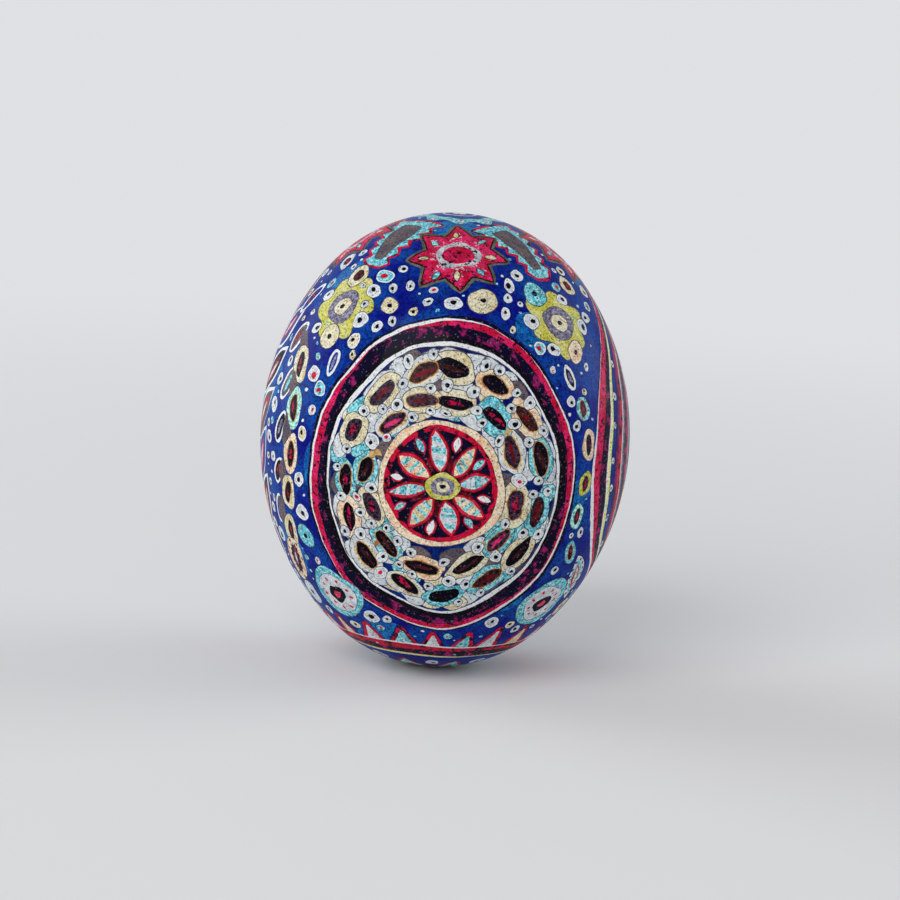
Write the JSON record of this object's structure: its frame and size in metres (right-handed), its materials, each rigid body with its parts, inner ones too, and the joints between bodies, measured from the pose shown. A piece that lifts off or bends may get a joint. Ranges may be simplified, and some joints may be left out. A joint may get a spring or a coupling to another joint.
{
  "type": "pysanka",
  "caption": "Blown ostrich egg dyed by wax resist, with a bevelled blow hole at its blunt pole for hanging it, or to set upright in a ring stand.",
  "frame": {"origin": "middle of the egg's long axis, halfway between its poles", "axes": "+Z along the long axis to the blunt end, where the blow hole is; -Y to the front of the decoration, the side that the picture shows; +X to the right of that side"},
  "size_m": [0.1214, 0.1214, 0.15],
  "materials": {
    "dyed_shell": "gloss",
    "outer_skin": "matte",
    "inner_skin": "matte"
  },
  "bodies": {
    "root": {"eggshell": "dyed_shell", "outer_membrane": "outer_skin", "inner_membrane": "inner_skin"}
  },
  "joints": []
}
